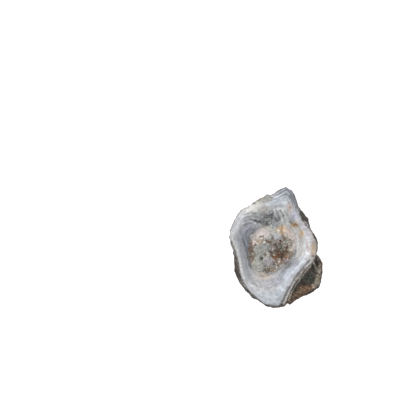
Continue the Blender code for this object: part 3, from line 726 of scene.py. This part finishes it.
def drop_specks(mesh):
    """Deletes all but the largest of the mesh's separate parts."""
    bm = bmesh.new()
    bm.from_mesh(mesh)
    unseen, parts = set(bm.verts), []
    while unseen:
        part, stack = [], [unseen.pop()]
        while stack:
            vertex = stack.pop()
            part.append(vertex)
            beside = [edge.other_vert(vertex) for edge in vertex.link_edges]
            stack += [other for other in beside if other in unseen]
            unseen.difference_update(beside)
        parts.append(part)
    parts.sort(key=len)
    bmesh.ops.delete(bm, geom=[vertex for part in parts[:-1] for vertex in part], context="VERTS")
    bm.to_mesh(mesh)
    bm.free()


def fine_copy(node, name):
    """A copy of a CAD node with small even faces."""
    obj = new_object(name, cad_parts[node].data.copy())
    obj.data.materials.clear()
    bm = bmesh.new()
    bm.from_mesh(obj.data)
    bmesh.ops.remove_doubles(bm, verts=bm.verts, dist=0.001 * MM)
    bm.to_mesh(obj.data)
    bm.free()
    remesh = obj.modifiers.new("remesh", "REMESH")
    remesh.mode = "VOXEL"
    remesh.voxel_size = VOXEL * MM
    applied(obj)
    drop_specks(obj.data)
    return obj


def on_lump(points):
    """1 on the lump of rind at the lower right."""
    azimuth = np.degrees(np.arctan2(points[:, 1], points[:, 0]))
    away = (azimuth - LUMP_AZIMUTH + 180) % 360 - 180
    past_edge = np.hypot(points[:, 0], points[:, 1]) - radius_at(azimuth, FACE_RADII)
    return ease(LUMP_GONE, LUMP_WHOLE, np.abs(away)) * ease(0.4, 1.4, past_edge)


def stone_relief(places, rind, upward):
    """How far each point of the stone moves out along its normal, in mm.

    The rind has broad and fine knobs and a groove. The face has waves, bands, knobs in the nook, lines and
    the sill.
    """
    points = places.points
    lumps = 0.45 * knobs_at(points, 2.6, 12) * (1 - 0.7 * on_lump(points)) + 0.26 * knobs_at(points, 1.1, 13)
    rough = lumps + 0.30 * noise_at(points, 2.4, 10) + 0.15 * noise_at(points, 0.6, 11)
    rough -= 0.60 * places.near(*GROOVE) * ease(0, 1, places.past_edge)
    waves = 0.10 * noise_at(points, 3.0, 14) + 0.035 * noise_at(points, 0.8, 15)
    turns = places.edge * math.tau / 1.1 + 2 * noise_at(points, 4.0, 16)
    bands = 0.025 * np.sin(turns) * (places.edge > 0)
    in_nook, knobs = nook_knobs(places)
    lines = sum(rise * places.line(line, width) for line, width, _, _, rise in LINES if rise)
    seen = 0.8 * in_nook * knobs + lines + 1.2 * places.patch(*SILL)
    face = waves + bands * ease(1.0, 0.6, places.inward) + seen * upward
    return rind * (rough + 0.06) + (1 - rind) * face


def banded_stone():
    """The nodule half, with its relief and its colours by place."""
    stone = fine_copy("agate", "banded_stone")
    average = averager(stone.data)
    points, _ = mesh_arrays(stone.data)
    set_points(stone.data, smoothed(points, average, 1 - 0.88 * on_lump(points)))
    points, normals = mesh_arrays(stone.data)
    places = Places(points, average)
    rind = rind_share(places, normals)
    upward = ease(-0.05 + 0.17 * rind, 0.15 + 0.30 * rind, normals[:, 2])
    off_table = ease(0.05, 0.8, points[:, 2])
    moved = points + normals * (stone_relief(places, rind, upward) * off_table)[:, None]
    moved[:, 2] = np.maximum(moved[:, 2], 0)
    set_points(stone.data, moved)
    ragged = noise_at(points, 0.9, 3)
    rough = with_patches(rind_colours(places), places, RIND_PATCHES, ragged, upward)
    face = with_nook_shading(with_patches(face_colours(places), places, PATCHES, ragged, upward), places)
    colours = with_lines(face * (1 - rind[:, None]) + rough * rind[:, None], places, ragged, upward)
    add_colour(stone.data, "tint", colours)
    add_value(stone.data, "rind", rind)
    add_value(stone.data, "depth", places.edge)
    stone.data.shade_smooth()
    stone.data.materials.append(stone_material())
    return stone


def nodes_of(material):
    """The material's node tree and its Principled shader."""
    material.use_nodes = True
    tree = material.node_tree
    return tree, tree.nodes["Principled BSDF"]


def set_inputs(tree, node, inputs):
    """Sets or links the node's inputs, given as (input, value or output)."""
    for name, value in inputs:
        if isinstance(value, bpy.types.NodeSocket):
            tree.links.new(value, node.inputs[name])
        else:
            node.inputs[name].default_value = value


def add_node(tree, kind, inputs=(), **settings):
    node = tree.nodes.new(kind)
    for name, value in settings.items():
        setattr(node, name, value)
    set_inputs(tree, node, inputs)
    return node


def texture(tree, scale, detail=3.0):
    """Noise in the object's own coordinates; scale is in waves a metre."""
    coordinates = add_node(tree, "ShaderNodeTexCoord").outputs["Object"]
    inputs = (("Vector", coordinates), ("Scale", scale), ("Detail", detail), ("Roughness", 0.55))
    return add_node(tree, "ShaderNodeTexNoise", inputs).outputs["Fac"]


def stretched(tree, value, low, high, to_low, to_high):
    inputs = ((0, value), (1, low), (2, high), (3, to_low), (4, to_high))
    return add_node(tree, "ShaderNodeMapRange", inputs).outputs[0]


def maths(tree, operation, first, second):
    return add_node(tree, "ShaderNodeMath", ((0, first), (1, second)), operation=operation).outputs[0]


def attribute(tree, name, output):
    return add_node(tree, "ShaderNodeAttribute", attribute_name=name).outputs[output]


def blended(tree, share, first, second):
    inputs = (("Factor", share), ("A", first), ("B", second))
    return add_node(tree, "ShaderNodeMix", inputs).outputs["Result"]


def tinted(tree, strength):
    """The tint that is stored at the mesh's points, times a strength."""
    inputs = ((0, attribute(tree, "tint", "Color")), ("Scale", strength))
    return add_node(tree, "ShaderNodeVectorMath", inputs, operation="SCALE").outputs[0]


def stone_material():
    """Waxy chalcedony with fine irregular bands that follow the edge, and a rough dull rind."""
    material = bpy.data.materials.new("banded_chalcedony")
    tree, shader = nodes_of(material)
    rind = attribute(tree, "rind", "Fac")
    depth = attribute(tree, "depth", "Fac")

    mottle = texture(tree, 450, 4)
    grain = texture(tree, 1100, 3)
    speckle = texture(tree, 2300, 2)
    warp = maths(tree, "MULTIPLY", texture(tree, 260, 2), 1.3)
    band_at = maths(tree, "ADD", depth, warp)
    band_inputs = (("W", band_at), ("Scale", 1.9), ("Detail", 3.0), ("Roughness", 0.65))
    band = add_node(tree, "ShaderNodeTexNoise", band_inputs, noise_dimensions="1D").outputs["Fac"]
    on_face = maths(tree, "MULTIPLY", stretched(tree, band, 0.3, 0.7, 0.84, 1.12),
                    stretched(tree, mottle, 0.3, 0.7, 0.80, 1.18))
    on_face = maths(tree, "MULTIPLY", on_face, stretched(tree, grain, 0.3, 0.7, 0.74, 1.22))
    on_rind = maths(tree, "MULTIPLY", stretched(tree, grain, 0.4, 0.6, 0.6, 1.4),
                    stretched(tree, speckle, 0.35, 0.65, 0.6, 1.45))

    relief = maths(tree, "ADD", speckle, grain)
    relief = maths(tree, "MULTIPLY", relief, stretched(tree, rind, 0, 1, 0.3, 1.0))
    bump_inputs = (("Height", relief), ("Strength", 0.55), ("Distance", 0.25 * MM))
    set_inputs(tree, shader, (
        ("Base Color", tinted(tree, blended(tree, rind, on_face, on_rind))),
        ("Roughness", blended(tree, rind, stretched(tree, mottle, 0.3, 0.7, 0.30, 0.46), 0.74)),
        ("Normal", add_node(tree, "ShaderNodeBump", bump_inputs).outputs[0]),
        ("Specular IOR Level", stretched(tree, rind, 0, 1, 0.5, 0.2)),
        ("Subsurface Weight", 0.10),
        ("Subsurface Radius", (1.0, 0.9, 0.8)),
        ("Subsurface Scale", 0.8 * MM),
        ("IOR", 1.54),
    ))
    return material


def crystal_material():
    """Milky to clear quartz, tinted crystal by crystal."""
    material = bpy.data.materials.new("druse_quartz")
    tree, shader = nodes_of(material)
    set_inputs(tree, shader, (
        ("Base Color", tinted(tree, stretched(tree, texture(tree, 900), 0.3, 0.7, 0.86, 1.12))),
        ("Roughness", stretched(tree, texture(tree, 700, 2), 0.3, 0.7, 0.16, 0.36)),
        ("IOR", 1.544),
        ("Transmission Weight", 0.18),
    ))
    return material


# The crystals in sizes, as (pitch, smallest radius, largest radius, share kept, farthest share), in mm. The
# farthest share is where they end on the way out, with 1 at the crystals' edge.
CRYSTAL_SIZES = (
    (2.3, 0.75, 1.05, 0.55, 0.92),
    (1.15, 0.46, 0.70, 0.9, 0.98),
    (0.66, 0.27, 0.44, 1.0, 1.02),
    (0.50, 0.16, 0.28, 0.5, 1.12),
)
# The crystalline ground: its greatest height above the stone and its thickness in mm, its rings and spokes
# of points, and its reach as a share of the way to the crystals' edge.
SHEET_LIFT, SHEET_THICK = 1.35, 1.1
SHEET_RINGS, SHEET_SPOKES = 30, 144
SHEET_REACH = 1.05
# The crystals shade each other, so their colours are laid on this much brighter: their own, and those of
# the stone, which the crust takes at its border.
DRUSE_LIFT, RIM_LIFT = 1.3, 1.14
# The crystals' least and greatest length as a share of their radius, their random lean, and their seed.
CRYSTAL_LENGTHS, CRYSTAL_LEAN, CRYSTAL_SEED = (1.1, 2.1), 0.26, 5


def floor_finder(stone):
    """A function that gives the height in mm and the way up of the stone's surface at (x, y) in mm."""
    tree = BVHTree.FromObject(stone, bpy.context.evaluated_depsgraph_get())

    def find(x, y):
        place, normal, _, _ = tree.ray_cast(Vector((x, y, 30)) * MM, Vector((0, 0, -1)))
        return place.z / MM, normal

    return find


def share_at(x, y):
    return math.hypot(x, y) / float(radius_at(math.degrees(math.atan2(y, x)) % 360, CRYSTAL_RADII))


def sheet_lift(x, y, share):
    """How far the top of the crystals' ground lies above the stone, in mm."""
    lumps = 0.25 * noise.noise(Vector((x, y, 3)) / 1.6) + 0.12 * noise.noise(Vector((x, y, 9)) / 0.7)
    crown = SHEET_LIFT * (1 - min(1, share) ** 4)
    return crown - 0.18 * ease(0.94, SHEET_REACH, share) + lumps * (1.2 - share)


def crust_sheet(find_floor):
    """The crystalline ground under the crystals: a thin uneven sheet that runs out into the wall."""
    bm = bmesh.new()
    upper, lower = [], []
    for ring in range(SHEET_RINGS + 1):
        share = SHEET_REACH * ring / SHEET_RINGS
        tops, feet = [], []
        for spoke in range(SHEET_SPOKES if ring else 1):
            angle = math.tau * spoke / SHEET_SPOKES
            radius = share * radius_at(math.degrees(angle), CRYSTAL_RADII)
            x, y = radius * math.cos(angle), radius * math.sin(angle)
            floor, _ = find_floor(x, y)
            lift = sheet_lift(x, y, share)
            foot = max(0.05, lift - SHEET_THICK) - 0.3 * share**8
            tops.append(bm.verts.new(Vector((x, y, floor + lift)) * MM))
            feet.append(bm.verts.new(Vector((x, y, floor + foot)) * MM))
        upper.append(tops)
        lower.append(feet)
    for rows, step in ((upper, 1), (lower, -1)):
        for inner, outer in zip(rows, rows[1:]):
            for spoke in range(SHEET_SPOKES):
                after = (spoke + 1) % SHEET_SPOKES
                ends = [outer[spoke], outer[after]]
                corners = [inner[0], *ends] if len(inner) == 1 else [inner[spoke], *ends, inner[after]]
                bm.faces.new(corners[::step])
    for spoke in range(SHEET_SPOKES):
        after = (spoke + 1) % SHEET_SPOKES
        bm.faces.new((upper[-1][spoke], lower[-1][spoke], lower[-1][after], upper[-1][after]))
    return bm


def crystal_corners(rng, radius, length):
    """The corners of an upright six-sided crystal: six of its foot, six of its shoulder, and its point."""
    tip = radius * rng.uniform(1.0, 1.4)
    spin = rng.uniform(0, math.tau)
    sides = []
    for k in range(6):
        reach = radius * rng.uniform(0.86, 1.08)
        angle = spin + math.tau * k / 6
        sides.append((reach * math.cos(angle), reach * math.sin(angle)))
    foot = [Vector((1.12 * x, 1.12 * y, -0.6 * radius)) for x, y in sides]
    shoulder = [Vector((x, y, length - tip * rng.uniform(0.85, 1.15))) for x, y in sides]
    point = Vector((radius * rng.uniform(-0.15, 0.15), radius * rng.uniform(-0.15, 0.15), length))
    return foot + shoulder + [point]


def add_crystal(bm, corners):
    """Adds the closed form of a crystal through its corners."""
    made = [bm.verts.new(corner) for corner in corners]
    for k in range(6):
        after = (k + 1) % 6
        bm.faces.new((made[k], made[after], made[6 + after], made[6 + k]))
        bm.faces.new((made[6 + k], made[6 + after], made[12]))
    bm.faces.new(made[5::-1])


def crystal_sites(rng):
    """(x, y, radius, share of the way to the edge) of each crystal, the largest first."""
    for pitch, smallest, largest, kept, farthest in CRYSTAL_SIZES:
        count = int(16 / pitch) + 1
        for row in range(-count, count + 1):
            for column in range(-count, count + 1):
                x = pitch * (column + 0.5 * (row % 2) + rng.uniform(-0.38, 0.38))
                y = pitch * (row * 0.87 + rng.uniform(-0.38, 0.38))
                radius = rng.uniform(smallest, largest)
                share = share_at(x, y) + 0.05 * noise.noise(Vector((x, y, 5)) / 2.5)
                thinning = min(1, (farthest - share) / (farthest - 1)) if farthest > 1 else 1
                if rng.random() < kept * thinning and share < farthest:
                    yield x, y, radius, share


def calm_shares(sites):
    """1 for each crystal in a calm zone and 0 for the others, with a soft border."""
    places = Places(np.array([(x, y, RIM_HEIGHT) for x, y, _, _ in sites]))
    return np.maximum.reduce([places.patch(*zone) for zone in CALM_ZONES])


def crystal_crust(stone):
    """The crust: its ground sheet and the crystals on it, in one mesh, coloured crystal by crystal."""
    rng = random.Random(CRYSTAL_SEED)
    find_floor = floor_finder(stone)
    bm = crust_sheet(find_floor)
    spots = [vertex.co / MM for vertex in bm.verts]
    owners = list(range(len(spots)))
    tones = [0.95] * len(spots)
    picks = [1.0] * len(spots)
    sites = list(crystal_sites(rng))
    for (x, y, radius, share), calm in zip(sites, calm_shares(sites)):
        floor, up = find_floor(x, y)
        spread = CRYSTAL_LEAN * (1 - 0.5 * calm)
        lean = Vector((rng.gauss(0, spread), rng.gauss(0, spread), 0))
        axis = (Vector((0, 0, 0.5)) + 0.5 * up + lean).normalized()
        length = radius * rng.uniform(*CRYSTAL_LENGTHS) * (1 - 0.4 * min(1, share) ** 4) * (1 - 0.35 * calm)
        turned = axis.to_track_quat("Z", "Y").to_matrix()
        root = Vector((x, y, floor + max(0, sheet_lift(x, y, share)) - 0.12))
        corners = [(root + turned @ corner) * MM for corner in crystal_corners(rng, radius, length)]
        add_crystal(bm, corners)
        owners += [len(spots)] * len(corners)
        spots.append(root)
        tones.append(rng.uniform(0.92, 1.08))
        picks.append(rng.random())
    mesh = bpy.data.meshes.new("crystal_crust")
    bm.to_mesh(mesh)
    bm.free()
    colours = druse_colours(np.array(spots), np.array(picks), rng) * np.array(tones)[:, None]
    add_colour(mesh, "tint", colours[owners])
    mesh.materials.append(crystal_material())
    return new_object("crystal_crust", mesh)


def druse_colours(points, picks, rng):
    """The colours of crystals at these points; picks holds a random number from 0 to 1 for each."""
    places = Places(points)
    fine = noise_at(points, 0.9, 22)
    colours = np.tile(linear(DRUSE_GREY), (len(points), 1))
    colours = mixed(colours, BLUSH, 0.4 * ease(-0.1, 0.6, noise_at(points, 3.2, 21) + 0.4 * fine))
    colours = mixed(colours, MOSS, 0.30 * ease(0.1, 0.6, noise_at(points, 1.6, 23)))
    colours = with_nook_shading(with_patches(colours, places, DRUSE_PATCHES, fine), places)
    for *oval, palette, share in DRUSE_MIXES:
        chosen = picks < share * np.clip(1.3 * places.patch(*oval), 0, 1)
        for index in np.nonzero(chosen)[0]:
            colours[index] = colours[index] * 0.25 + linear(rng.choice(palette)) * 0.75
    for across, down, size, colour in DRUSE_SPOTS:
        weight = np.clip(1.2 * places.patch(across, down, size, size, 0), 0, 1)
        weight[np.argmin(np.hypot(places.across - across, places.down - down))] = 1
        colours = mixed(colours, colour, 0.85 * weight)
    rim = with_lines(with_patches(face_colours(places), places, PATCHES, fine), places, fine)
    fade = ease(0.84, 0.99, places.share + 0.05 * noise_at(points, 1.6, 24))[:, None]
    return colours * DRUSE_LIFT * (1 - fade) + rim * RIM_LIFT * fade


def camera_above():
    """The photograph's view, straight down, with the stone where the photograph has it."""
    data = bpy.data.cameras.new("camera")
    data.lens = LENS
    data.sensor_width = SENSOR
    camera = new_object("camera", data)
    camera.location = Vector((CAMERA_X, CAMERA_Y, CAMERA_Z)) * MM
    bpy.context.scene.camera = camera


def soft_light(name, place, size, power):
    data = bpy.data.lights.new(name, "AREA")
    data.size = size
    data.energy = power
    light = new_object(name, data)
    light.location = place
    light.rotation_euler = (Vector((0, 0, 0.01)) - light.location).to_track_quat("-Z", "Y").to_euler()


def table():
    """A plain white table top, faintly lit from within, which is not part of the stone."""
    bm = bmesh.new()
    bmesh.ops.create_grid(bm, x_segments=1, y_segments=1, size=1.5)
    mesh = bpy.data.meshes.new("table")
    bm.to_mesh(mesh)
    bm.free()
    top = new_object("table", mesh)
    top.location.z = -0.02 * MM
    material = bpy.data.materials.new("white_table")
    set_inputs(*nodes_of(material), (
        ("Base Color", (0.93, 0.93, 0.93, 1)),
        ("Roughness", 0.9),
        ("Specular IOR Level", 0.0),
        ("Emission Color", (1, 1, 1, 1)),
        ("Emission Strength", 0.5),
    ))
    mesh.materials.append(material)


def studio():
    """White surroundings, a soft key light from the upper left and a weak one from the lower right."""
    world = bpy.data.worlds.new("studio")
    world.use_nodes = True
    background = world.node_tree.nodes["Background"]
    set_inputs(world.node_tree, background, (("Color", (1, 1, 1, 1)), ("Strength", 1.0)))
    bpy.context.scene.world = world
    soft_light("key", (-0.45, 0.42, 0.55), 0.40, 3.6)
    soft_light("fill", (0.5, -0.5, 0.7), 0.6, 0.5)
    bpy.context.scene.view_settings.view_transform = "Standard"


stone = banded_stone()
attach(stone, "root")
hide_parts("agate")

crust = crystal_crust(stone)
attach(crust, "root")
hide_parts("druse_crust")

table()
studio()
camera_above()
